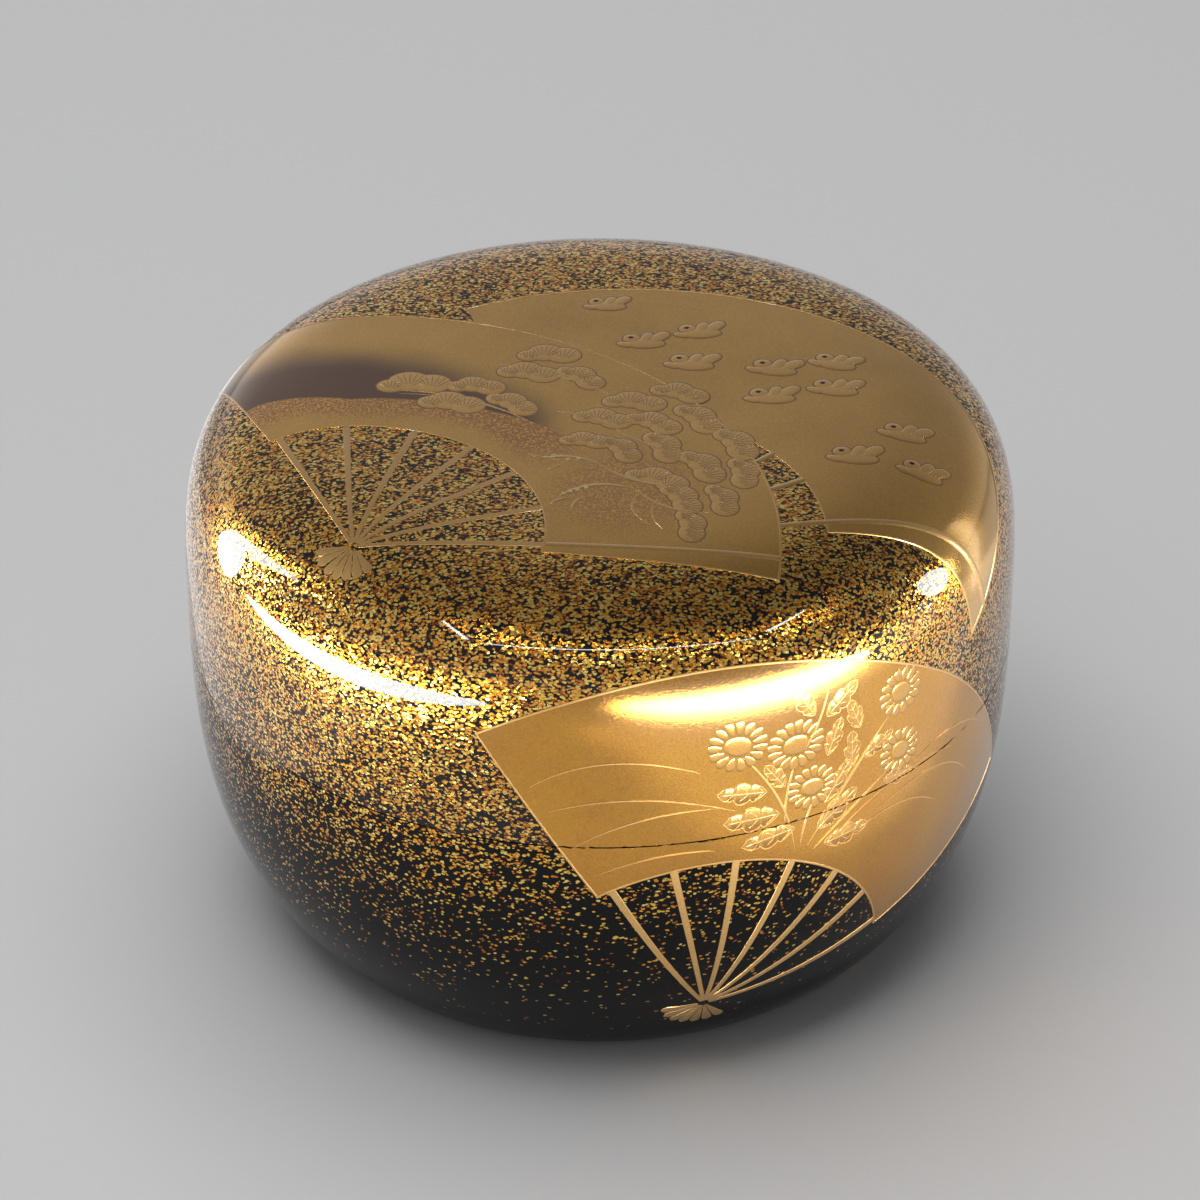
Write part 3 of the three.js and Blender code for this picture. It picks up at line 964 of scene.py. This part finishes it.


# Plovers on the right fan: each a small body raised in gold, with a round head, a dark eye and lifted wings,
# fine feather lines across the wings, and a dark rim of painted shade round each part.
PLOVERS = [
    # (east, north, turn, size), in millimetres and degrees
    (5.2, 37.6, 4, 1.0), (10.8, 39.6, 8, 1.0), (9.9, 33.4, -2, 1.05), (18.0, 32.4, -6, 1.05),
    (24.0, 33.6, -12, 1.0), (23.8, 28.6, -4, 1.05), (17.6, 27.0, 4, 1.05), (30.2, 20.8, -8, 1.0),
    (25.2, 16.2, 2, 1.05), (31.6, 14.8, -10, 0.95), (1.6, 45.0, 2, 0.9),
]
PLOVER_SCALE = 1.35
PLOVER_HEIGHT, PLOVER_EDGE_HEIGHT = 0.06 * MM, 0.018 * MM
PLOVER_EDGE = (0.14 * MM, 0.12 * MM)
EYE_SIZE, EYE_HEIGHT = (0.28 * MM, 0.24 * MM), 0.03 * MM
FEATHER_WIDTH, FEATHER_HEIGHT = 0.11 * MM, 0.022 * MM
bird_edge_shade, bird_pads, bird_lines, bird_eyes = [], [], [], []
for east, north, turn, size in PLOVERS:
    size *= PLOVER_SCALE
    place, ahead, aside = set_out(east, north, turn)

    def at(along, across):
        return place + size * MM * (along * ahead + across * aside)

    parts = [
        # (middle, half length and half width, lean, taper) of the body, the head, two wings and the breast
        (at(0.1, -0.3), (1.5, 0.7), -4, 0.0), (at(-0.8, 0.5), (0.66, 0.62), 0, 0.0),
        (at(1.15, 0.45), (1.15, 0.52), 44, 0.25), (at(0.3, 0.5), (0.85, 0.45), 66, 0.2),
        (at(-1.3, -0.35), (0.7, 0.36), -24, 0.0),
    ]
    for middle, (length, width), lean, taper in parts:
        length, width = length * size * MM, width * size * MM
        edge = (length + PLOVER_EDGE[0], width + PLOVER_EDGE[1])
        # A dark pad a little larger than each part, under it: painted shade round the part's edge.
        bird_edge_shade.append(pad(middle, edge, turn + lean, PLOVER_EDGE_HEIGHT, RIGHT_LEAF_HEIGHT, taper))
        bird_pads.append(pad(middle, (length, width), turn + lean, PLOVER_HEIGHT, RIGHT_LEAF_HEIGHT, taper))
    bird_eyes.append(pad(at(-0.85, 0.62), EYE_SIZE, turn, EYE_HEIGHT, RIGHT_LEAF_HEIGHT + 0.05 * MM))
    for shift in (-0.25, 0.05, 0.35, 0.65):
        line = bow(at(0.5 + shift, -0.5), at(1.0 + shift, 0.5), 0.08, 7)
        feather = ridge(line, tapered(7, FEATHER_WIDTH), FEATHER_HEIGHT, RIGHT_LEAF_HEIGHT + 0.03 * MM)
        bird_lines.append(feather)
plover_edge_shade = joined("plover_edge_shade", bird_edge_shade, right_compass, painted_edge_shade)
plovers = joined("plovers", bird_pads, right_compass, tuft_gold)
plover_lines = joined("plover_lines", bird_lines, right_compass, raised_gold)
plover_eyes = joined("plover_eyes", bird_eyes, right_compass, dot_black)
for piece in (right_leaf, right_lines, plover_edge_shade, plovers, plover_lines, plover_eyes):
    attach(piece, "root")


# The front fan, across the seam. The lacquerer cut it through where the lid lifts off, so that one part of
# the leaf and of the flower spray belongs to the lid and the other to the body.
FRONT_PIVOT = (9.97 * MM, -35.90 * MM, 8.88 * MM)
FRONT_OUTER = (39.99, 0.29, -0.26)
FRONT_INNER = (19.03, 0.51)
FRONT_SPREAD = (0.4, 119.6)
FRONT_STICKS = tuple(3.1 + 18.6 * number for number in range(7))
FRONT_STICK_WIDTH = 0.85 * MM
FRONT_STICK_END = 4.2 * MM


def cut_at_seam(piece):
    """Cuts a piece through at the seam: the lid's part keeps the piece, and the body's part is a copy."""
    copy = piece.copy()
    copy.data = piece.data.copy()
    bpy.context.scene.collection.objects.link(copy)
    name = piece.name
    for part, side, place in ((piece, "lid", SEAM + SEAM_CUT), (copy, "body", SEAM - SEAM_CUT)):
        part.name = f"{name}_{side}"
        work_on(part)
        bpy.ops.object.mode_set(mode="EDIT")
        bpy.ops.mesh.select_all(action="SELECT")
        bpy.ops.mesh.bisect(
            plane_co=(0, 0, place), plane_no=(0, 0, 1), use_fill=True,
            clear_inner=side == "lid", clear_outer=side == "body",
        )
        bpy.ops.object.mode_set(mode="OBJECT")
        bpy.ops.object.shade_smooth_by_angle(angle=math.radians(30))
        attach(part, "root")


front_compass = set_pivot(FRONT_PIVOT)
front_leaf = make_leaf("front_fan_leaf", FRONT_OUTER, FRONT_INNER, FRONT_SPREAD, LEAF_HEIGHT, front_compass)
front_leaf.data.materials.append(front_gold)
front_lines = joined(
    "front_fan_sticks",
    leaf_border(FRONT_OUTER, FRONT_INNER, FRONT_SPREAD, LEAF_HEIGHT)
    + sticks(FRONT_STICKS, FRONT_INNER, FRONT_STICK_WIDTH)
    + stick_ends(FRONT_STICKS, FRONT_STICK_END),
    front_compass, raised_gold,
)


# Chrysanthemums on the front fan, raised in gold: blossoms with an oval heart and grain-like petals, lobed
# and veined leaves on thin stems, and long grass blades that arch away to both sides.
BLOSSOMS = [
    # (east, north, turn, size, petals), in millimetres and degrees
    (5.6, 31.6, -20, 1.25, 15), (11.6, 29.4, -14, 1.25, 16), (12.8, 23.8, -20, 1.1, 15),
    (24.2, 28.2, -40, 1.15, 14), (23.4, 21.4, -44, 1.1, 14),
]
BLOSSOM_SCALE = 1.12
HEART, HEART_HEIGHT = (1.02, 0.76), 0.07 * MM
PETAL, PETAL_HEIGHT, PETAL_TAPER = (0.56, 0.33), 0.065 * MM, 0.3
PETAL_RING = (1.72, 1.42)
petal_shapes, flower_lines = [], []
for east, north, turn, size, petals in BLOSSOMS:
    size *= BLOSSOM_SCALE
    place, ahead, aside = set_out(east, north, turn)
    heart = (HEART[0] * size * MM, HEART[1] * size * MM)
    petal = (PETAL[0] * size * MM, PETAL[1] * size * MM)
    petal_shapes.append(pad(place, heart, turn, HEART_HEIGHT, LEAF_HEIGHT))
    for number in range(petals):
        angle = math.tau * number / petals
        along, across = PETAL_RING[0] * math.cos(angle), PETAL_RING[1] * math.sin(angle)
        lean = turn + math.degrees(math.atan2(across, along))
        middle = place + size * MM * (along * ahead + across * aside)
        petal_shapes.append(pad(middle, petal, lean, PETAL_HEIGHT, LEAF_HEIGHT, PETAL_TAPER))
STEMS = [
    # (start, end, bend, width), in millimetres
    ((10.2, 17.6), (6.0, 30.2), -0.08, 0.28), ((9.4, 20.6), (11.4, 27.8), 0.05, 0.24),
    ((10.8, 17.8), (12.8, 22.4), 0.04, 0.26), ((11.6, 17.4), (22.4, 26.6), 0.03, 0.26),
    ((12.2, 16.6), (21.8, 20.4), 0.03, 0.24), ((12.4, 28.4), (15.8, 33.8), -0.04, 0.24),
    ((-18.6, 26.2), (1.6, 29.8), 0.20, 0.17), ((-20.4, 22.9), (4.6, 24.6), 0.17, 0.17),
    ((-14.6, 20.4), (3.0, 25.4), 0.13, 0.15), ((-11.0, 18.9), (2.2, 20.7), 0.10, 0.15),
    ((13.6, 16.2), (30.6, 15.2), 0.17, 0.16), ((14.8, 15.2), (27.6, 10.6), 0.19, 0.15),
    ((19.6, 16.6), (33.4, 7.6), 0.20, 0.15), ((24.6, 18.6), (36.4, 11.8), 0.16, 0.14),
]
STEM_HEIGHT = 0.07 * MM
for start, end, bend, width in STEMS:
    line = bow(np.array(start) * MM, np.array(end) * MM, bend, 60)
    away, turns = np.hypot(*line.T), np.degrees(np.arctan2(line[:, 1], line[:, 0]))
    line = line[(turns > 3) & (turns < 117) & (away < 39.2 * MM) & (away > 20 * MM)]
    widths, heights = tapered(len(line), 1.3 * width * MM), tapered(len(line), STEM_HEIGHT)
    flower_lines.append(ridge(line, widths, heights, LEAF_HEIGHT))
LEAVES = [
    # (east, north, turn, length, width), in millimetres and degrees
    (8.0, 25.6, 166, 5.2, 1.8), (9.0, 22.6, 172, 5.8, 2.1), (10.4, 20.2, 180, 5.6, 1.8),
    (12.8, 18.8, 24, 5.4, 2.0), (13.4, 16.6, -8, 5.2, 1.8), (13.9, 21.4, 44, 4.8, 1.7),
    (17.4, 23.6, 84, 4.2, 1.5), (18.8, 24.0, 8, 4.0, 1.5), (9.9, 25.4, 120, 3.6, 1.4),
    (14.8, 26.6, 60, 4.0, 1.5), (15.2, 31.0, 26, 4.4, 1.7), (13.9, 31.8, 116, 4.0, 1.5),
    (20.9, 19.6, -24, 4.2, 1.5), (18.8, 27.6, 104, 3.8, 1.4),
]
LEAF_BODY_HEIGHT = 0.03 * MM
LEAF_EDGE_WIDTH, LEAF_EDGE_HEIGHT = 0.13 * MM, 0.05 * MM
VEIN_WIDTH, MIDRIB_WIDTH, VEIN_HEIGHT = 0.15 * MM, 0.17 * MM, 0.065 * MM
for east, north, turn, length, width in LEAVES:
    place, ahead, aside = set_out(east, north, turn)
    share = np.linspace(0, 1, 37)
    lobes = 0.60 + 0.40 * np.abs(np.sin(3 * np.pi * share)) ** 0.6
    edge = 0.66 * width * np.sin(np.pi * share**0.8) ** 0.85 * lobes
    reach = length * (share + 0.05 * np.sin(3 * np.pi * share) ** 2)
    spine = place + MM * np.outer(reach, ahead)
    widths = 2 * MM * np.maximum(edge, 0.02)
    petal_shapes.append(ridge(spine, widths, LEAF_BODY_HEIGHT, LEAF_HEIGHT, shoulder=0.42))
    for sign in (1, -1):
        outline = spine + sign * MM * np.outer(edge, aside)
        flower_lines.append(ridge(outline, LEAF_EDGE_WIDTH, LEAF_EDGE_HEIGHT, LEAF_HEIGHT))
        for along in (0.08, 0.38, 0.68):
            start = place + MM * length * along * ahead
            tip = start + MM * (0.16 * length * ahead + sign * 0.40 * width * aside)
            vein = bow(start, tip, 0.08 * sign, 6)
            flower_lines.append(ridge(vein, tapered(6, VEIN_WIDTH), VEIN_HEIGHT, LEAF_HEIGHT))
    midrib = place + MM * np.outer(length * share * 0.96, ahead)
    flower_lines.append(ridge(midrib, tapered(37, MIDRIB_WIDTH), VEIN_HEIGHT, LEAF_HEIGHT))
flower_heads = joined("chrysanthemum_blossoms", petal_shapes, front_compass, blossom_gold)
flower_stems = joined("chrysanthemum_stems_and_leaves", flower_lines, front_compass, raised_gold)
for piece in (front_leaf, front_lines, flower_heads, flower_stems):
    cut_at_seam(piece)
